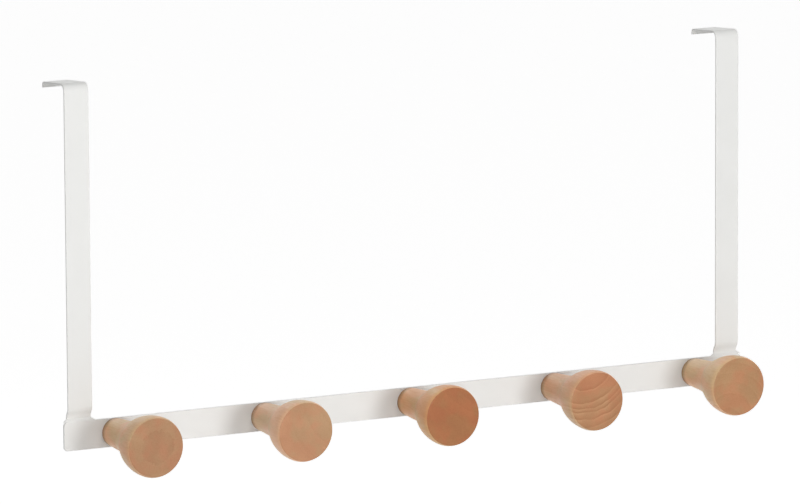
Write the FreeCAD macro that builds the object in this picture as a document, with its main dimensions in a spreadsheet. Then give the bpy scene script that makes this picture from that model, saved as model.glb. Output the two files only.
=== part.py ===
import FreeCAD, Part
import math
import os
import Sketcher

# Over door hook: a flat steel bar hung from two bent steel straps, with five turned
# wooden knobs screwed on from behind.
#
# Frame: X along the bar, Y back towards the door, Z up. The origin is halfway between
# the straps, on the top front edge of the door: Z = 0 is the door's top, on which the
# top plates bear at their back lips, and Y = 0 is the back of the straps' long run.
# The knobs point to -Y.

KNOB_COUNT = 5

# Driving dimensions in millimetres, each written once.
DIMENSIONS = {
    # steel strip of the straps
    "strap_width": 20.0,
    "strap_thickness": 1.5,
    "strip_edge_radius": 0.5,
    "door_gap": 35.5,
    "plate_rise": 3.0,
    "top_bend_radius": 4.5,
    "lip_drop": 3.0,
    "lip_bend_radius": 1.0,
    "strap_drop": 250.0,
    "joggle_depth": 3.0,
    "joggle_length": 8.0,
    "joggle_rise": 2.5,
    "foot_margin": 1.0,
    # weld bead between strap and bar
    "weld_height": 2.2,
    "weld_overrun": 3.0,
    "weld_slope": 3.0,
    "weld_nose": 0.5,
    # bar
    "bar_height": 22.0,
    "bar_thickness": 2.0,
    "bar_corner_radius": 3.0,
    "bar_edge_radius": 0.5,
    "bar_overhang": 3.0,
    "strap_clearance": 8.2,
    # knobs
    "knob_pitch": 124.0,
    "knob_length": 70.0,
    "knob_root_diameter": 21.6,
    "knob_neck_diameter": 24.0,
    "knob_neck_length": 19.5,
    "knob_head_diameter": 46.2,
    "knob_rim_setback": 4.5,
    "knob_rim_radius": 10.0,
    "knob_face_radius": 0.7,
    "flare_share": 0.67,
    # screws
    "screw_diameter": 4.0,
    "screw_length": 25.0,
    "screw_point": 4.0,
    "screw_head_diameter": 9.0,
    "screw_head_edge": 0.6,
    "screw_head_height": 2.0,
    "recess_width": 1.1,
    "recess_span": 4.4,
    "recess_depth": 1.0,
    "screw_hole_clearance": 0.25,
    "pilot_spare": 1.0,
}

# Where the pieces lie, worked out from the dimensions above.
OUTER_KNOB = f"({(KNOB_COUNT - 1) / 2} * Dimensions.knob_pitch)"
STRAP_X = (
    f"({OUTER_KNOB} + Dimensions.knob_root_diameter / 2"
    " + Dimensions.strap_clearance + Dimensions.strap_width / 2)"
)
BAR_HALF_LENGTH = f"({STRAP_X} + Dimensions.strap_width / 2 + Dimensions.bar_overhang)"
BAR_CENTRE_DEPTH = "(Dimensions.strap_drop + Dimensions.bar_height / 2)"
BAR_BACK = "(Dimensions.joggle_depth - Dimensions.strap_thickness)"
BAR_FRONT = f"({BAR_BACK} - Dimensions.bar_thickness)"

doc = FreeCAD.newDocument("OverDoorHook")
sheet = doc.addObject("Spreadsheet::Sheet", "Dimensions")
for row, (alias, number) in enumerate(DIMENSIONS.items(), start=1):
    sheet.set(f"A{row}", alias)
    sheet.set(f"B{row}", str(number))
    sheet.setAlias(f"B{row}", alias)
doc.recompute()


def size(alias):
    """The number that the sheet holds under this name."""
    return float(sheet.get(alias))


def vector(x, y):
    return FreeCAD.Vector(x, y, 0)


def new_body(name):
    body = doc.addObject("PartDesign::Body", name)
    body.Label = name
    return body


def origin_feature(body, role):
    for feature in body.Origin.OriginFeatures:
        if feature.Role == role:
            return feature
    raise RuntimeError(f"{body.Label} has no {role}")


def new_sketch(body, name, role, offset=None):
    """A sketch on one of the body's own origin planes, shifted by expressions."""
    sketch = body.newObject("Sketcher::SketchObject", name)
    sketch.AttachmentSupport = [(origin_feature(body, role), "")]
    sketch.MapMode = "FlatFace"
    for axis, expression in (offset or {}).items():
        sketch.setExpression(f"AttachmentOffset.Base.{axis}", expression)
    return sketch


def dimension(sketch, name, expression, *constraint):
    """A named dimension of the sketch, bound to the sheet."""
    index = sketch.addConstraint(Sketcher.Constraint(*constraint))
    sketch.renameConstraint(index, name)
    sketch.setExpression(f"Constraints.{name}", expression)


def line(sketch, start, end):
    return sketch.addGeometry(Part.LineSegment(vector(*start), vector(*end)), False)


def arc(sketch, centre, radius, start_angle, end_angle):
    circle = Part.Circle(vector(*centre), FreeCAD.Vector(0, 0, 1), radius)
    curve = Part.ArcOfCircle(circle, math.radians(start_angle), math.radians(end_angle))
    return sketch.addGeometry(curve, False)


def constrain(sketch, *rows):
    for row in rows:
        sketch.addConstraint(Sketcher.Constraint(*row))


def rounded_rectangle(sketch, width, height, corner, right, top):
    """A rectangle with round corners. Each size is a (number, expression) pair, and
    right and top place its right and top sides from the sketch's origin."""
    x1, y1, r = right[0], top[0], corner[0]
    x0, y0 = x1 - width[0], y1 - height[0]
    bottom_side = line(sketch, (x0 + r, y0), (x1 - r, y0))
    lower_right = arc(sketch, (x1 - r, y0 + r), r, 270, 360)
    right_side = line(sketch, (x1, y0 + r), (x1, y1 - r))
    upper_right = arc(sketch, (x1 - r, y1 - r), r, 0, 90)
    top_side = line(sketch, (x1 - r, y1), (x0 + r, y1))
    upper_left = arc(sketch, (x0 + r, y1 - r), r, 90, 180)
    left_side = line(sketch, (x0, y1 - r), (x0, y0 + r))
    lower_left = arc(sketch, (x0 + r, y0 + r), r, 180, 270)
    loop = [bottom_side, lower_right, right_side, upper_right,
            top_side, upper_left, left_side, lower_left]
    for here, following in zip(loop, loop[1:] + loop[:1]):
        constrain(sketch, ("Tangent", here, 2, following, 1))
    constrain(
        sketch,
        ("Horizontal", bottom_side),
        ("Horizontal", top_side),
        ("Vertical", right_side),
        ("Vertical", left_side),
        ("Equal", lower_right, upper_right),
        ("Equal", upper_right, upper_left),
        ("Equal", upper_left, lower_left),
    )
    dimension(sketch, "corner", corner[1], "Radius", lower_right, r)
    dimension(sketch, "width", width[1], "DistanceX", left_side, 2, right_side, 1, width[0])
    dimension(sketch, "height", height[1], "DistanceY", bottom_side, 2, top_side, 1, height[0])
    dimension(sketch, "right", right[1], "DistanceX", -1, 1, right_side, 1, x1)
    dimension(sketch, "top", top[1], "DistanceY", -1, 1, top_side, 1, y1)


def edge_names(shape, wanted):
    """Names of the shape's edges that the test accepts."""
    return [f"Edge{i}" for i, edge in enumerate(shape.Edges, start=1) if wanted(edge)]


def add_fillet(body, name, base, radius_alias, wanted):
    doc.recompute()
    fillet = body.newObject("PartDesign::Fillet", name)
    fillet.Base = (base, edge_names(base.Shape, wanted))
    fillet.setExpression("Radius", f"Dimensions.{radius_alias}")
    body.Tip = fillet
    return fillet


def add_pocket(body, name, sketch, length, reversed_cut):
    """A pocket that must take material away. The length is an expression."""
    doc.recompute()
    before = body.Shape.Volume
    pocket = body.newObject("PartDesign::Pocket", name)
    pocket.Profile = sketch
    pocket.setExpression("Length", length)
    pocket.Reversed = reversed_cut
    body.Tip = pocket
    doc.recompute()
    if body.Shape.Volume >= before:
        raise RuntimeError(f"{name} cuts nothing")
    return pocket


def make_bar():
    """The flat bar that carries the knobs, with its five screw holes."""
    body = new_body("hook_bar")
    outer_knob = (KNOB_COUNT - 1) / 2 * size("knob_pitch")
    half_length = (outer_knob + size("knob_root_diameter") / 2 + size("strap_clearance")
                   + size("strap_width") + size("bar_overhang"))
    outline = new_sketch(body, "bar_outline", "XZ_Plane")
    rounded_rectangle(
        outline,
        (2 * half_length, f"2 * {BAR_HALF_LENGTH}"),
        (size("bar_height"), "Dimensions.bar_height"),
        (size("bar_corner_radius"), "Dimensions.bar_corner_radius"),
        (half_length, BAR_HALF_LENGTH),
        (size("bar_height") / 2, "Dimensions.bar_height / 2"),
    )
    pad = body.newObject("PartDesign::Pad", "bar_pad")
    pad.Profile = outline
    pad.setExpression("Length", "Dimensions.bar_thickness")

    hole = new_sketch(body, "first_screw_hole", "XZ_Plane")
    radius = size("screw_diameter") / 2 + size("screw_hole_clearance")
    circle = hole.addGeometry(Part.Circle(vector(-outer_knob, 0), FreeCAD.Vector(0, 0, 1), radius), False)
    constrain(hole, ("PointOnObject", circle, 3, -1))
    dimension(hole, "radius", "Dimensions.screw_diameter / 2 + Dimensions.screw_hole_clearance",
              "Radius", circle, radius)
    dimension(hole, "offset", OUTER_KNOB, "DistanceX", circle, 3, -1, 1, outer_knob)
    drilled = add_pocket(body, "screw_hole", hole, "Dimensions.bar_thickness", True)

    row = body.newObject("PartDesign::LinearPattern", "screw_holes")
    row.Originals = [drilled]
    row.Direction = (hole, ["H_Axis"])
    row.setExpression("Length", f"2 * {OUTER_KNOB}")
    row.Occurrences = KNOB_COUNT
    body.Tip = row
    doc.recompute()

    def on_outline(edge):
        box = edge.BoundBox
        flat = box.YLength < 1e-6
        return flat and not (edge.Curve.TypeId == "Part::GeomCircle" and edge.isClosed())

    add_fillet(body, "eased_edges", row, "bar_edge_radius", on_outline)
    body.setExpression("Placement.Base.y", BAR_BACK)
    body.setExpression("Placement.Base.z", f"-{BAR_CENTRE_DEPTH}")
    return body


def make_strap(name, side):
    """One strap, bent from flat strip, with the weld bead that meets the bar."""
    body = new_body(name)
    t = size("strap_thickness")
    gap = size("door_gap")
    lip_radius = size("lip_bend_radius") + t / 2
    top_radius = size("top_bend_radius") + t / 2
    depth, length = size("joggle_depth"), size("joggle_length")
    joggle_radius = (length ** 2 + depth ** 2) / (4 * depth)
    turn = math.degrees(2 * math.atan2(depth, length))
    foot_y = depth - t / 2
    foot_top = -size("strap_drop") + size("joggle_rise")
    run_end = foot_top + length
    foot_end = -size("strap_drop") - size("bar_height") + size("foot_margin")

    # The top plate rises from the back lip to the run, so the bend there is a little
    # under a right angle. Its underside is a line from the lip, at the door's top, to
    # the run's back; a bend's centre lies its radius below the plate's middle line.
    rise = size("plate_rise")
    lean = math.atan2(rise, gap)
    back = gap + t / 2

    def bend_centre(y, radius):
        return (y, (math.sin(lean) * (gap - y) + t / 2 - radius) / math.cos(lean))

    def plate_end(centre, radius):
        return (centre[0] + radius * math.sin(lean), centre[1] + radius * math.cos(lean))

    lip_centre = bend_centre(back - lip_radius, lip_radius)
    top_centre = bend_centre(top_radius - t / 2, top_radius)
    plate_angle = 90 - math.degrees(lean)

    # The middle line of the strip, seen from the side: sketch x is Y, sketch y is Z.
    path = new_sketch(body, f"{name}_path", "YZ_Plane")
    lip = line(path, (back, -size("lip_drop")), (back, lip_centre[1]))
    lip_bend = arc(path, lip_centre, lip_radius, 0, plate_angle)
    plate = line(path, plate_end(lip_centre, lip_radius), plate_end(top_centre, top_radius))
    top_bend = arc(path, top_centre, top_radius, plate_angle, 180)
    run = line(path, (-t / 2, top_centre[1]), (-t / 2, run_end))
    upper = arc(path, (joggle_radius - t / 2, run_end), joggle_radius, 180, 180 + turn)
    lower = arc(path, (foot_y - joggle_radius, foot_top), joggle_radius, 0, turn)
    foot = line(path, (foot_y, foot_top), (foot_y, foot_end))
    underside = line(path, (gap, 0), (0, rise))
    path.setConstruction(underside, True)
    constrain(
        path,
        ("PointOnObject", underside, 1, -1),
        ("PointOnObject", underside, 2, -2),
        ("Parallel", plate, underside),
        ("Vertical", lip),
        ("Vertical", run),
        ("Vertical", foot),
        ("Tangent", lip, 2, lip_bend, 1),
        ("Tangent", lip_bend, 2, plate, 1),
        ("Tangent", plate, 2, top_bend, 1),
        ("Tangent", top_bend, 2, run, 1),
        ("Tangent", run, 2, upper, 1),
        ("Tangent", upper, 2, lower, 2),
        ("Tangent", lower, 1, foot, 1),
        ("Equal", upper, lower),
    )
    half = "Dimensions.strap_thickness / 2"
    dimension(path, "back", f"Dimensions.door_gap + {half}", "DistanceX", -1, 1, lip, 1, back)
    dimension(path, "lip_drop", "Dimensions.lip_drop", "DistanceY", lip, 1, -1, 1, size("lip_drop"))
    dimension(path, "underside_back", "Dimensions.door_gap", "DistanceX", -1, 1, underside, 1, gap)
    dimension(path, "underside_rise", "Dimensions.plate_rise", "DistanceY", -1, 1, underside, 2, rise)
    dimension(path, "plate_middle", half, "Distance", plate, 1, underside, t / 2)
    dimension(path, "run_plane", half, "DistanceX", run, 1, -1, 1, t / 2)
    dimension(path, "lip_bend", f"Dimensions.lip_bend_radius + {half}", "Radius", lip_bend, lip_radius)
    dimension(path, "top_bend", f"Dimensions.top_bend_radius + {half}", "Radius", top_bend, top_radius)
    dimension(path, "joggle_depth", "Dimensions.joggle_depth", "DistanceX", run, 2, foot, 1, depth)
    dimension(path, "joggle_length", "Dimensions.joggle_length", "DistanceY", foot, 1, run, 2, length)
    dimension(path, "foot_top", "Dimensions.strap_drop - Dimensions.joggle_rise",
              "DistanceY", foot, 1, -1, 1, -foot_top)
    dimension(path, "foot_end", "Dimensions.strap_drop + Dimensions.bar_height - Dimensions.foot_margin",
              "DistanceY", foot, 2, -1, 1, -foot_end)

    # The strip's cross-section, at the lower end of the back lip.
    section = new_sketch(body, f"{name}_section", "XY_Plane", {"z": "-Dimensions.lip_drop"})
    rounded_rectangle(
        section,
        (size("strap_width"), "Dimensions.strap_width"),
        (t, "Dimensions.strap_thickness"),
        (size("strip_edge_radius"), "Dimensions.strip_edge_radius"),
        (size("strap_width") / 2, "Dimensions.strap_width / 2"),
        (gap + t, "Dimensions.door_gap + Dimensions.strap_thickness"),
    )
    doc.recompute()
    strip = body.newObject("PartDesign::AdditivePipe", f"{name}_strip")
    strip.Profile = section
    strip.Spine = (path, [f"Edge{i}" for i in range(1, 9)])
    body.Tip = strip
    doc.recompute()
    add_weld(body, name)
    body.setExpression("Placement.Base.x", f"{side} * {STRAP_X}")
    return body


def add_weld(body, name):
    """The smoothed bead that fills the corner between the strap and the bar's top edge.
    It is widest and tallest against the strap and runs out towards the bar's front."""
    half_width = size("strap_width") / 2 + size("weld_overrun")
    bar_top = -size("strap_drop")
    outlines = []
    stations = (
        ("root", BAR_BACK, (size("weld_height"), "Dimensions.weld_height"),
         (size("weld_slope"), "Dimensions.weld_slope")),
        ("nose", f"{BAR_FRONT} + Dimensions.bar_edge_radius",
         (size("weld_nose"), "Dimensions.weld_nose"),
         (size("weld_slope") * size("weld_nose") / size("weld_height"),
          "Dimensions.weld_slope * Dimensions.weld_nose / Dimensions.weld_height")),
    )
    for station, place, (height, height_expression), (slope, slope_expression) in stations:
        outline = new_sketch(body, f"{name}_weld_{station}", "XZ_Plane", {"z": f"-({place})"})
        corners = [
            (-half_width, bar_top),
            (half_width, bar_top),
            (half_width - slope, bar_top + height),
            (slope - half_width, bar_top + height),
        ]
        sides = [line(outline, a, b) for a, b in zip(corners, corners[1:] + corners[:1])]
        for here, following in zip(sides, sides[1:] + sides[:1]):
            constrain(outline, ("Coincident", here, 2, following, 1))
        constrain(
            outline,
            ("Symmetric", sides[0], 1, sides[0], 2, -2),
            ("Symmetric", sides[2], 1, sides[2], 2, -2),
        )
        dimension(outline, "bottom", "Dimensions.strap_drop", "DistanceY", sides[0], 1, -1, 1, -bar_top)
        dimension(outline, "width", "Dimensions.strap_width + 2 * Dimensions.weld_overrun",
                  "DistanceX", sides[0], 1, sides[0], 2, 2 * half_width)
        dimension(outline, "height", height_expression, "DistanceY", sides[1], 1, sides[1], 2, height)
        dimension(outline, "slope", slope_expression, "DistanceX", sides[1], 2, sides[1], 1, slope)
        outlines.append(outline)
    doc.recompute()
    bead = body.newObject("PartDesign::AdditiveLoft", f"{name}_weld_bead")
    bead.Profile = outlines[0]
    bead.Sections = [outlines[1]]
    bead.Ruled = True
    body.Tip = bead
    doc.recompute()


def make_knob(number):
    """A knob turned about Y: tapered stem, concave flare, convex rim and flat face.
    Its back, which bears on the bar, is at the body's origin."""
    body = new_body(f"knob_{number}")
    root, neck, head = (size(f"knob_{part}_diameter") / 2 for part in ("root", "neck", "head"))
    neck_end = size("knob_neck_length")
    crown = size("knob_length") - size("knob_rim_setback")
    span, rise = crown - neck_end, head - neck
    whole = (span ** 2 + rise ** 2) / (2 * rise)
    flare_radius = size("flare_share") * whole
    shoulder_radius = whole - flare_radius
    turn = math.degrees(2 * math.atan2(rise, span))
    rim_radius = size("knob_rim_radius")
    setback = size("knob_rim_setback")
    drop = rim_radius - math.sqrt(rim_radius ** 2 - setback ** 2)
    rim_turn = math.degrees(math.asin(setback / rim_radius))

    # Half of the knob's section: sketch x is the radius, and y runs from 0 at the bar
    # down to minus the knob's length at its face.
    profile = new_sketch(body, f"knob_{number}_profile", "XY_Plane")
    back = line(profile, (0, 0), (root, 0))
    stem = line(profile, (root, 0), (neck, -neck_end))
    flare = arc(profile, (neck + flare_radius, -neck_end), flare_radius, 180, 180 + turn)
    shoulder = arc(profile, (head - shoulder_radius, -crown), shoulder_radius, 0, turn)
    rim = arc(profile, (head - rim_radius, -crown), rim_radius, -rim_turn, 0)
    face = line(profile, (head - drop, -size("knob_length")), (0, -size("knob_length")))
    axis = line(profile, (0, -size("knob_length")), (0, 0))
    constrain(
        profile,
        ("Coincident", back, 1, -1, 1),
        ("Horizontal", back),
        ("Coincident", back, 2, stem, 1),
        ("Tangent", stem, 2, flare, 1),
        ("Tangent", flare, 2, shoulder, 2),
        ("Tangent", shoulder, 1, rim, 2),
        ("Horizontal", shoulder, 3, shoulder, 1),
        ("Coincident", rim, 1, face, 1),
        ("Horizontal", face),
        ("Coincident", face, 2, axis, 1),
        ("Coincident", axis, 2, back, 1),
        ("Vertical", axis),
    )
    dimension(profile, "root", "Dimensions.knob_root_diameter / 2", "DistanceX", -1, 1, stem, 1, root)
    dimension(profile, "neck", "Dimensions.knob_neck_diameter / 2", "DistanceX", -1, 1, stem, 2, neck)
    dimension(profile, "neck_length", "Dimensions.knob_neck_length", "DistanceY", stem, 2, -1, 1, neck_end)
    dimension(profile, "head", "Dimensions.knob_head_diameter / 2", "DistanceX", -1, 1, shoulder, 1, head)
    dimension(profile, "crown", "Dimensions.knob_length - Dimensions.knob_rim_setback",
              "DistanceY", shoulder, 1, -1, 1, crown)
    span_text = "(Dimensions.knob_length - Dimensions.knob_rim_setback - Dimensions.knob_neck_length)"
    rise_text = "((Dimensions.knob_head_diameter - Dimensions.knob_neck_diameter) / 2)"
    dimension(profile, "flare",
              f"Dimensions.flare_share * ({span_text} ^ 2 + {rise_text} ^ 2) / (2 * {rise_text})",
              "Radius", flare, flare_radius)
    dimension(profile, "rim", "Dimensions.knob_rim_radius", "Radius", rim, rim_radius)
    dimension(profile, "length", "Dimensions.knob_length",
              "DistanceY", axis, 1, -1, 1, size("knob_length"))
    turned = body.newObject("PartDesign::Revolution", f"knob_{number}_turning")
    turned.Profile = profile
    turned.ReferenceAxis = (profile, ["V_Axis"])
    turned.Angle = 360
    body.Tip = turned
    doc.recompute()

    pilot = new_sketch(body, f"knob_{number}_pilot", "XZ_Plane")
    radius = size("screw_diameter") / 2
    circle = pilot.addGeometry(Part.Circle(vector(0, 0), FreeCAD.Vector(0, 0, 1), radius), False)
    constrain(pilot, ("Coincident", circle, 3, -1, 1))
    dimension(pilot, "radius", "Dimensions.screw_diameter / 2", "Radius", circle, radius)
    depth = "Dimensions.screw_length - Dimensions.bar_thickness + Dimensions.pilot_spare"
    drilled = add_pocket(body, f"knob_{number}_pilot_hole", pilot, depth, True)

    def face_edge(edge):
        box = edge.BoundBox
        return box.YLength < 1e-6 and box.YMin < 0.5 - size("knob_length")

    add_fillet(body, f"knob_{number}_face_edge", drilled, "knob_face_radius", face_edge)
    place = number - (KNOB_COUNT + 1) / 2
    body.setExpression("Placement.Base.x", f"{place} * Dimensions.knob_pitch")
    body.setExpression("Placement.Base.y", BAR_FRONT)
    body.setExpression("Placement.Base.z", f"-{BAR_CENTRE_DEPTH}")
    return body


def make_screws():
    """The five screws, one row of like solids: domed head, plain shank, pointed end.
    The underside of the heads, on the bar's back, is at the body's origin plane."""
    body = new_body("knob_screws")
    body.AllowCompound = True
    outer_knob = (KNOB_COUNT - 1) / 2 * size("knob_pitch")
    radius = size("screw_diameter") / 2
    head = size("screw_head_diameter") / 2
    edge, height = size("screw_head_edge"), size("screw_head_height")
    dome = (head ** 2 + (height - edge) ** 2) / (2 * (height - edge))
    lean = math.degrees(math.asin(head / dome))
    length, point = size("screw_length"), size("screw_point")

    profile = new_sketch(body, "screw_profile", "XY_Plane", {"x": f"-{OUTER_KNOB}"})
    tip = line(profile, (0, -length), (radius, point - length))
    shank = line(profile, (radius, point - length), (radius, 0))
    under = line(profile, (radius, 0), (head, 0))
    side = line(profile, (head, 0), (head, edge))
    top = arc(profile, (0, height - dome), dome, 90 - lean, 90)
    axis = line(profile, (0, height), (0, -length))
    loop = [tip, shank, under, side, top, axis]
    for here, following in zip(loop, loop[1:] + loop[:1]):
        constrain(profile, ("Coincident", here, 2, following, 1))
    constrain(
        profile,
        ("Vertical", shank),
        ("Horizontal", under),
        ("Vertical", side),
        ("PointOnObject", tip, 1, -2),
        ("Vertical", axis),
        ("PointOnObject", top, 3, -2),
        ("PointOnObject", under, 1, -1),
    )
    dimension(profile, "shank", "Dimensions.screw_diameter / 2", "DistanceX", -1, 1, shank, 1, radius)
    dimension(profile, "head", "Dimensions.screw_head_diameter / 2", "DistanceX", -1, 1, side, 1, head)
    dimension(profile, "edge", "Dimensions.screw_head_edge", "DistanceY", side, 1, side, 2, edge)
    dimension(profile, "height", "Dimensions.screw_head_height", "DistanceY", -1, 1, axis, 1, height)
    dimension(profile, "length", "Dimensions.screw_length", "DistanceY", tip, 1, -1, 1, length)
    dimension(profile, "point", "Dimensions.screw_point", "DistanceY", tip, 1, tip, 2, point)
    turned = body.newObject("PartDesign::Revolution", "screw_turning")
    turned.Profile = profile
    turned.ReferenceAxis = (profile, ["V_Axis"])
    turned.Angle = 360
    body.Tip = turned
    doc.recompute()

    # A cross recess, cut down from the top of the dome.
    recess = new_sketch(body, "screw_recess", "XZ_Plane",
                        {"x": f"-{OUTER_KNOB}", "z": "-Dimensions.screw_head_height"})
    a, b = size("recess_width") / 2, size("recess_span") / 2
    corners = [(b, -a), (b, a), (a, a), (a, b), (-a, b), (-a, a),
               (-b, a), (-b, -a), (-a, -a), (-a, -b), (a, -b), (a, -a)]
    sides = [line(recess, p, q) for p, q in zip(corners, corners[1:] + corners[:1])]
    for here, following in zip(sides, sides[1:] + sides[:1]):
        constrain(recess, ("Coincident", here, 2, following, 1))
    right_end, top_end, left_end, bottom_end = sides[0], sides[3], sides[6], sides[9]
    constrain(
        recess,
        ("Symmetric", right_end, 1, right_end, 2, -1),
        ("Symmetric", left_end, 1, left_end, 2, -1),
        ("Symmetric", top_end, 1, top_end, 2, -2),
        ("Symmetric", bottom_end, 1, bottom_end, 2, -2),
        ("Equal", right_end, top_end),
        ("Equal", right_end, left_end),
        ("Equal", right_end, bottom_end),
        ("Equal", sides[1], sides[2]),
        ("Equal", sides[1], sides[5]),
        ("Equal", sides[1], sides[8]),
    )
    for index in (1, 5, 7, 11):
        constrain(recess, ("Horizontal", sides[index]))
    for index in (2, 4, 8, 10):
        constrain(recess, ("Vertical", sides[index]))
    dimension(recess, "width", "Dimensions.recess_width", "DistanceY", right_end, 1, right_end, 2, 2 * a)
    dimension(recess, "span", "Dimensions.recess_span", "DistanceX", left_end, 1, right_end, 1, 2 * b)
    cross = add_pocket(body, "cross_recess", recess, "Dimensions.recess_depth", True)

    row = body.newObject("PartDesign::LinearPattern", "screw_row")
    row.Originals = [turned, cross]
    row.Direction = (profile, ["H_Axis"])
    row.setExpression("Length", f"2 * {OUTER_KNOB}")
    row.Occurrences = KNOB_COUNT
    body.Tip = row
    body.setExpression("Placement.Base.y", BAR_BACK)
    body.setExpression("Placement.Base.z", f"-{BAR_CENTRE_DEPTH}")
    return body


bodies = [make_bar(), make_strap("left_strap", -1), make_strap("right_strap", 1)]
bodies += [make_knob(number) for number in range(1, KNOB_COUNT + 1)]
bodies.append(make_screws())
doc.recompute()

for item in doc.Objects:
    if "Invalid" in item.State or "Error" in item.State:
        raise RuntimeError(f"{item.Label} failed: {item.State}")
os.makedirs("parts", exist_ok=True)
for body in bodies:
    if body.Shape.isNull() or not body.Shape.isValid():
        raise RuntimeError(f"{body.Label} has no valid shape")
    body.Shape.exportStep(f"parts/{body.Label}.step")
    box = body.Shape.BoundBox
    print(f"{body.Label}: {len(body.Shape.Solids)} solid(s), {body.Shape.Volume:.1f} mm3, "
          f"X {box.XMin:.2f} to {box.XMax:.2f}, Y {box.YMin:.2f} to {box.YMax:.2f}, "
          f"Z {box.ZMin:.2f} to {box.ZMax:.2f}")
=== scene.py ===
"""Looks for the over door hook: painted steel, turned beech, zinc screws."""
import math

import bpy
from mathutils import Matrix, Vector

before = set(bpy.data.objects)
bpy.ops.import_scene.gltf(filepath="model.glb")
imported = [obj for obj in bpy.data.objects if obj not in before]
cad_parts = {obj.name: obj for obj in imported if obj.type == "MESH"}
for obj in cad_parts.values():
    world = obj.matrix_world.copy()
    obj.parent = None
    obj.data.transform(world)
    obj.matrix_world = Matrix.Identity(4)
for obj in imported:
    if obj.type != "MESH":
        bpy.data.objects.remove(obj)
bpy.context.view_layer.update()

scene = bpy.context.scene

# the part, in metres
KNOB_PITCH = 0.124
KNOB_ROOT = -0.0005
KNOB_HEIGHT = -0.261

# stage, in metres and watts
FLOOR_HEIGHT = -1.0
FLOOR_HALF = 12.0
FLOOR_LIFT = 0.72
SKY_LEVEL = 0.295
LAMP_TARGET = (0, 0, -0.2)
LAMPS = [
    # name, place, diameter, power
    ("key", (0.24, -2.78, 0.04), 0.8, 28),
    ("left", (-0.95, -2.62, 0.04), 0.8, 9.5),
    ("side", (-2.69, -0.72, 0.04), 0.8, 5),
    ("front", (0.28, -1.58, 2.09), 0.8, 8),
    ("above", (0.33, -0.90, 2.43), 0.8, 5.5),
    ("behind", (0, 2.29, 1.41), 1.0, 8),
    ("behind_right", (1.14, 2.14, 1.20), 1.0, 3.5),
    ("back_right", (2.14, 1.80, -0.35), 1.0, 14),
]

# camera: angles in degrees, distances in metres
CAMERA_TURN = 27.5113
CAMERA_DROP = 9.7874
CAMERA_ROLL = -0.3268
CAMERA_AIM = (-0.007227, 0.0005, -0.145282)
CAMERA_DISTANCE = 5.99283
FOCAL_PIXELS = 7915.0
IMAGE_WIDTH = 800
SENSOR_WIDTH = 36

# The growth rings reach this far from their heart, in millimetres.
RING_REACH = 64.0

# The knobs from left to right, as beech() takes them.
KNOBS = [
    {"heart": (-2, 1), "years": [13], "pale": 0.62, "contrast": 0.50,
     "tilt": 0.05, "ripples": 7.0, "yellow": (0.000, 0.002),
     "face": (0.435, 0.222, 0.114), "side": (0.79, 0.498, 0.300)},
    {"heart": (34, 24), "years": [16, 29, 41, 55], "contrast": 0.14,
     "tilt": 0.08, "ripples": 1.6, "yellow": (0.006, 0.003),
     "face": (0.490, 0.265, 0.143), "side": (0.88, 0.590, 0.385)},
    {"heart": (40, 50), "years": [38, 45, 52, 60], "contrast": 0.16,
     "tilt": -0.06, "ripples": 1.6, "yellow": (0.001, -0.005),
     "face": (0.378, 0.142, 0.048), "side": (0.805, 0.465, 0.235)},
    {"heart": (-12, 31), "years": [9, 22, 32, 36.5, 39.5, 44.7, 50.6], "contrast": 1.0,
     "tilt": 0.03, "ripples": 1.1, "yellow": (0.001, -0.006),
     "face": (0.445, 0.208, 0.102), "side": (0.755, 0.455, 0.275)},
    {"heart": (-5, -24), "years": [9, 20.5, 28.5, 36, 44], "contrast": 0.26,
     "tilt": -0.04, "ripples": 2.0, "yellow": (0.000, 0.005),
     "face": (0.465, 0.242, 0.122), "side": (0.86, 0.550, 0.330)},
]

# node helpers


def new_material(name):
    """A material whose tree holds only an output and its Principled shader."""
    material = bpy.data.materials.new(name)
    material.use_nodes = True
    tree = material.node_tree
    tree.nodes.clear()
    output = tree.nodes.new("ShaderNodeOutputMaterial")
    shader = tree.nodes.new("ShaderNodeBsdfPrincipled")
    tree.links.new(shader.outputs["BSDF"], output.inputs["Surface"])
    return material, tree, shader


def plug(tree, value, socket):
    """Links an output to a socket, or sets the socket's own value."""
    if isinstance(value, bpy.types.NodeSocket):
        tree.links.new(value, socket)
    else:
        socket.default_value = value


def math_node(tree, operation, first, second=None):
    node = tree.nodes.new("ShaderNodeMath")
    node.operation = operation
    plug(tree, first, node.inputs[0])
    if second is not None:
        plug(tree, second, node.inputs[1])
    return node.outputs[0]


def vector_node(tree, operation, first, second=None, out=0):
    node = tree.nodes.new("ShaderNodeVectorMath")
    node.operation = operation
    plug(tree, first, node.inputs[0])
    if second is not None:
        plug(tree, second, node.inputs[1])
    return node.outputs[out]


def placed_coordinates(tree, centre=(0, 0, 0)):
    """Millimetres from a point of the part."""
    coordinates = tree.nodes.new("ShaderNodeTexCoord")
    mapping = tree.nodes.new("ShaderNodeMapping")
    mapping.inputs["Location"].default_value = [-1000 * value for value in centre]
    mapping.inputs["Scale"].default_value = (1000, 1000, 1000)
    tree.links.new(coordinates.outputs["Object"], mapping.inputs["Vector"])
    return mapping.outputs["Vector"]


def split(tree, vector):
    """The three parts of a vector."""
    node = tree.nodes.new("ShaderNodeSeparateXYZ")
    tree.links.new(vector, node.inputs[0])
    return node.outputs


def noise(tree, vector, scale, stretch=(1, 1, 1), detail=2.0, rough=0.5, out="Fac"):
    """Noise with features of about 1/scale millimetres."""
    stretched = vector_node(tree, "MULTIPLY", vector, stretch)
    node = tree.nodes.new("ShaderNodeTexNoise")
    node.inputs["Scale"].default_value = scale
    node.inputs["Detail"].default_value = detail
    node.inputs["Roughness"].default_value = rough
    tree.links.new(stretched, node.inputs["Vector"])
    return node.outputs[out]


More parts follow.
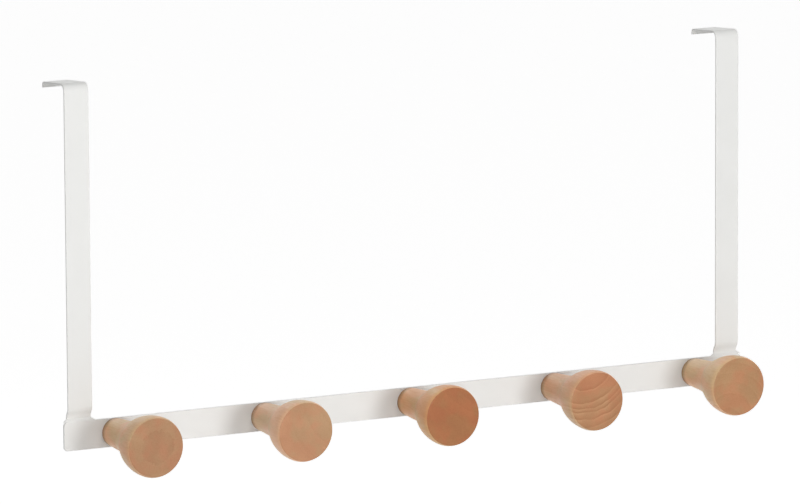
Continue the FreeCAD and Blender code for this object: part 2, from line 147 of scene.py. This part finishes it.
def wobble(tree, vector, scale, stretch, size):
    """Noise as a shift across the grain, size millimetres from end to end."""
    shift = noise(tree, vector, scale, stretch=stretch, out="Color")
    shift = vector_node(tree, "SUBTRACT", shift, (0.5, 0.5, 0.5))
    return vector_node(tree, "MULTIPLY", shift, (size, 0, size))


def remap(tree, value, low, high, to_low, to_high):
    """Carries low..high smoothly to to_low..to_high, held beyond its ends."""
    node = tree.nodes.new("ShaderNodeMapRange")
    node.interpolation_type = "SMOOTHSTEP"
    plug(tree, value, node.inputs["Value"])
    names = ("From Min", "From Max", "To Min", "To Max")
    for name, number in zip(names, (low, high, to_low, to_high)):
        node.inputs[name].default_value = number
    return node.outputs["Result"]


def ramp(tree, value, stops):
    node = tree.nodes.new("ShaderNodeValToRGB")
    elements = node.color_ramp.elements
    while len(elements) < len(stops):
        elements.new(0.5)
    for element, (place, colour) in zip(elements, stops):
        element.position = place
        element.color = (*colour, 1)
    plug(tree, value, node.inputs["Fac"])
    return node.outputs["Color"]


def mix_colour(tree, factor, first, second, blend="MIX"):
    node = tree.nodes.new("ShaderNodeMix")
    node.data_type = "RGBA"
    node.blend_type = blend
    plug(tree, factor, node.inputs["Factor"])
    for socket, value in ((node.inputs[6], first), (node.inputs[7], second)):
        plug(tree, value if isinstance(value, bpy.types.NodeSocket) else (*value, 1), socket)
    return node.outputs[2]


def tinted(tree, colour, tint):
    """A colour multiplied by a plain tint."""
    return mix_colour(tree, 1.0, colour, tint, "MULTIPLY")


def bump(tree, shader, heights):
    """Stacked bumps: (height, strength, distance in metres)."""
    normal = None
    for height, strength, distance in heights:
        node = tree.nodes.new("ShaderNodeBump")
        node.inputs["Strength"].default_value = strength
        node.inputs["Distance"].default_value = distance
        tree.links.new(height, node.inputs["Height"])
        if normal is not None:
            tree.links.new(normal, node.inputs["Normal"])
        normal = node.outputs["Normal"]
    tree.links.new(normal, shader.inputs["Normal"])


def grey(value):
    return (value, value, value)


# materials


def white_paint():
    """Satin powder coat: off-white, with fine orange peel."""
    material, tree, shader = new_material("white_powder_coat")
    point = placed_coordinates(tree)
    cloud = noise(tree, point, 0.035, detail=3)
    speck = remap(tree, noise(tree, point, 2.2, detail=1), 0.62, 0.8, 0, 0.25)
    colour = mix_colour(tree, cloud, (0.795, 0.795, 0.775), (0.835, 0.835, 0.818))
    colour = mix_colour(tree, speck, colour, (0.70, 0.70, 0.68))
    tree.links.new(colour, shader.inputs["Base Color"])
    tree.links.new(remap(tree, cloud, 0.3, 0.7, 0.40, 0.50), shader.inputs["Roughness"])
    peel = noise(tree, point, 0.9, detail=2, rough=0.55)
    fine = noise(tree, point, 4.5, detail=1)
    bump(tree, shader, [(peel, 0.10, 0.00010), (fine, 0.05, 0.00004)])
    return material


def zinc():
    """Bright zinc plate with a faint warm cast and fine scratches."""
    material, tree, shader = new_material("zinc_plate")
    point = placed_coordinates(tree)
    cloud = noise(tree, point, 0.5, detail=3)
    colour = mix_colour(tree, cloud, (0.52, 0.53, 0.55), (0.70, 0.69, 0.66))
    tree.links.new(colour, shader.inputs["Base Color"])
    shader.inputs["Metallic"].default_value = 1.0
    scratch = noise(tree, point, 3.0, stretch=(1, 1, 0.15), detail=2)
    tree.links.new(remap(tree, scratch, 0.3, 0.7, 0.28, 0.42), shader.inputs["Roughness"])
    bump(tree, shader, [(scratch, 0.10, 0.00005)])
    return material


def year_ramp(tree, radius, years, pale):
    """Growth rings, 0 in late wood, from the radii at which each year's pale wood begins."""
    stops = [(0.0, 0.15)]
    for start, end in zip(years, years[1:] + [RING_REACH - 0.4]):
        span = end - start
        stops += [(start - 0.5, 0.0), (start + 0.2, pale),
                  (start + min(1.6, 0.35 * span), 0.58), (end - min(3.0, 0.45 * span), 0.45)]
    stops.append((RING_REACH, 0.1))
    stops = [(place / RING_REACH, grey(value)) for place, value in stops]
    return ramp(tree, math_node(tree, "DIVIDE", radius, RING_REACH), stops)


def rings(tree, point, shifted, heart, years, tilt, ripples, pale):
    """Growth rings round the heart, on a grain that leans off the axis and wanders."""
    x, y, z = split(tree, point)
    across = tree.nodes.new("ShaderNodeCombineXYZ")
    lean = math_node(tree, "MULTIPLY", y, tilt)
    tree.links.new(math_node(tree, "ADD", x, lean), across.inputs["X"])
    tree.links.new(z, across.inputs["Z"])
    across = vector_node(tree, "SUBTRACT", across.outputs[0], (heart[0], 0, heart[1]))
    wander = wobble(tree, shifted, 0.055, (1, 0.25, 1), 5)
    across = vector_node(tree, "ADD", across, wander)
    ripple = wobble(tree, shifted, 0.30, (1, 0.1, 1), ripples)
    across = vector_node(tree, "ADD", across, ripple)
    radius = vector_node(tree, "LENGTH", across, out="Value")
    ring = year_ramp(tree, radius, years, pale)
    # some years show more than others
    fading = noise(tree, shifted, 0.06, stretch=(1, 0.4, 1), detail=1)
    return mix_colour(tree, remap(tree, fading, 0.35, 0.65, 0.0, 0.55), ring, grey(0.40))


def beech(name, place, heart, years, face, side, contrast, tilt, ripples, yellow, seed, pale=1.0):
    """Beech turned along its grain, so rings show on the end and streaks along the side.

    place is the root of the knob's axis. heart is the middle of the growth rings from that
    axis, seen from the front, years are their radii and ripples their unevenness, all in
    millimetres. face and side are the colours of end and side grain, and yellow points to
    the less red side of the knob.
    """
    material, tree, shader = new_material(name)
    point = placed_coordinates(tree, place)
    shifted = vector_node(tree, "ADD", point, (seed * 37.0, seed * 11.0, seed * 23.0))
    ring = rings(tree, point, shifted, heart, years, tilt, ripples, pale)
    # side grain drinks less lacquer, so it stays paler than the end grain
    geometry = tree.nodes.new("ShaderNodeNewGeometry")
    along = math_node(tree, "ABSOLUTE", split(tree, geometry.outputs["Normal"])["Y"])
    tone = mix_colour(tree, remap(tree, along, 0.25, 0.93, 0, 1), side, face)
    ring = mix_colour(tree, remap(tree, along, 0.20, 0.95, 0.70, 0), ring, grey(0.45))
    # late wood is darker and redder than early wood
    light = tinted(tree, tone, [1 + share * contrast for share in (0.22, 0.32, 0.38)])
    dark = tinted(tree, tone, [1 - share * contrast for share in (0.13, 0.22, 0.30)])
    colour = mix_colour(tree, ring, dark, light)
    # slow changes of tone, from redder to yellower, over the knob
    cloud = noise(tree, shifted, 0.05, stretch=(1, 0.5, 1))
    deeper = tinted(tree, colour, (0.90, 0.86, 0.82))
    colour = mix_colour(tree, remap(tree, cloud, 0.35, 0.65, 0, 0.8), colour, deeper)
    slope = vector_node(tree, "DOT_PRODUCT", point, (yellow[0], 0, yellow[1]), out="Value")
    hue = math_node(tree, "ADD", noise(tree, shifted, 0.075, stretch=(1, 0.4, 1)), slope)
    redder = tinted(tree, colour, (1.05, 0.94, 0.88))
    yellower = tinted(tree, colour, (0.96, 1.03, 0.96))
    colour = mix_colour(tree, remap(tree, hue, 0.36, 0.64, 0, 1), redder, yellower)
    # pores on the end, fine streaks along the side
    streak = noise(tree, shifted, 1.1, stretch=(1, 0.035, 1), detail=3, rough=0.6)
    streaked = tinted(tree, colour, (0.84, 0.77, 0.70))
    colour = mix_colour(tree, remap(tree, streak, 0.38, 0.72, 0, 0.40), colour, streaked)
    pore = noise(tree, shifted, 3.2, stretch=(1, 0.06, 1))
    pored = tinted(tree, colour, (0.72, 0.62, 0.54))
    colour = mix_colour(tree, remap(tree, pore, 0.58, 0.75, 0, 0.40), colour, pored)
    # painted shade: the knob's colour darkens within a few millimetres of the bar, standing in for
    # the contact shadow where the stem meets the bar
    painted_root_shade = remap(tree, split(tree, point)["Y"], -7.5, 0.0, 0, 1)
    root_shade_colour = tinted(tree, colour, (0.48, 0.45, 0.44))
    colour = mix_colour(tree, painted_root_shade, colour, root_shade_colour)
    tree.links.new(colour, shader.inputs["Base Color"])
    tree.links.new(remap(tree, streak, 0.3, 0.7, 0.40, 0.54), shader.inputs["Roughness"])
    shader.inputs["Specular IOR Level"].default_value = 0.45
    bump(tree, shader, [(streak, 0.12, 0.00012), (pore, 0.10, 0.00006)])
    return material


def use(node, material):
    """Gives every slot of a CAD node one material."""
    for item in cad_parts[node].material_slots:
        item.material = material


paint = white_paint()
for node in ("hook_bar", "left_strap", "right_strap"):
    use(node, paint)
use("knob_screws", zinc())
for index, facts in enumerate(KNOBS):
    place = ((index - 2) * KNOB_PITCH, KNOB_ROOT, KNOB_HEIGHT)
    use(f"knob_{index + 1}", beech(f"beech_{index + 1}", place, seed=index + 1, **facts))

# stage


def camera_at_photo():
    """A long lens from the front left, a little above the bar."""
    turn, drop, roll = map(math.radians, (CAMERA_TURN, CAMERA_DROP, CAMERA_ROLL))
    level_ahead = math.cos(drop)
    ahead = Vector((math.sin(turn) * level_ahead, math.cos(turn) * level_ahead, -math.sin(drop)))
    right = Vector((math.cos(turn), -math.sin(turn), 0))
    up = right.cross(ahead)
    level = right * math.cos(roll) + up * math.sin(roll)
    upright = up * math.cos(roll) - right * math.sin(roll)
    lens = bpy.data.cameras.new("camera")
    lens.sensor_fit = "HORIZONTAL"
    lens.sensor_width = SENSOR_WIDTH
    lens.lens = FOCAL_PIXELS * SENSOR_WIDTH / IMAGE_WIDTH
    lens.clip_start = 0.05
    lens.clip_end = 60
    camera = bpy.data.objects.new("camera", lens)
    scene.collection.objects.link(camera)
    matrix = Matrix((level, upright, -ahead)).transposed().to_4x4()
    matrix.translation = Vector(CAMERA_AIM) - ahead * CAMERA_DISTANCE
    camera.matrix_world = matrix
    scene.camera = camera


def seen_or_mirrored(tree):
    """1 for camera, glossy and transmission rays, else 0."""
    path = tree.nodes.new("ShaderNodeLightPath")
    seen = math_node(tree, "MAXIMUM", path.outputs["Is Camera Ray"], path.outputs["Is Glossy Ray"])
    return math_node(tree, "MAXIMUM", seen, path.outputs["Is Transmission Ray"])


def floor(height, half):
    """A pale floor well below the hanging part."""
    mesh = bpy.data.meshes.new("floor")
    corners = ((-half, -half), (half, -half), (half, half), (-half, half))
    mesh.from_pydata([(x, y, height) for x, y in corners], [], [(0, 1, 2, 3)])
    plane = bpy.data.objects.new("floor", mesh)
    scene.collection.objects.link(plane)
    material, tree, shader = new_material("floor")
    shader.inputs["Base Color"].default_value = (0.8, 0.8, 0.8, 1)
    shader.inputs["Roughness"].default_value = 0.9
    shader.inputs["Specular IOR Level"].default_value = 0.1
    shader.inputs["Emission Color"].default_value = (1, 1, 1, 1)
    lift = math_node(tree, "MULTIPLY", seen_or_mirrored(tree), FLOOR_LIFT)
    tree.links.new(lift, shader.inputs["Emission Strength"])
    mesh.materials.append(material)


def sky(level):
    """White where it is seen, a softer even light on the part."""
    world = bpy.data.worlds.new("studio")
    world.use_nodes = True
    tree = world.node_tree
    tree.nodes.clear()
    output = tree.nodes.new("ShaderNodeOutputWorld")
    background = tree.nodes.new("ShaderNodeBackground")
    background.inputs["Color"].default_value = (1, 1, 1, 1)
    strength = tree.nodes.new("ShaderNodeMapRange")
    strength.inputs["To Min"].default_value = level
    strength.inputs["To Max"].default_value = 1.0
    tree.links.new(seen_or_mirrored(tree), strength.inputs["Value"])
    tree.links.new(strength.outputs["Result"], background.inputs["Strength"])
    tree.links.new(background.outputs[0], output.inputs["Surface"])
    scene.world = world


def lamp(name, place, size, power):
    """A soft round lamp that faces the part."""
    light = bpy.data.lights.new(name, "AREA")
    light.shape = "DISK"
    light.size = size
    light.energy = power
    item = bpy.data.objects.new(name, light)
    scene.collection.objects.link(item)
    item.location = place
    facing = Vector(LAMP_TARGET) - Vector(place)
    item.rotation_euler = facing.to_track_quat("-Z", "Y").to_euler()


camera_at_photo()
scene.view_settings.view_transform = "Standard"
floor(FLOOR_HEIGHT, FLOOR_HALF)
sky(SKY_LEVEL)
for name, place, size, power in LAMPS:
    lamp(name, place, size, power)
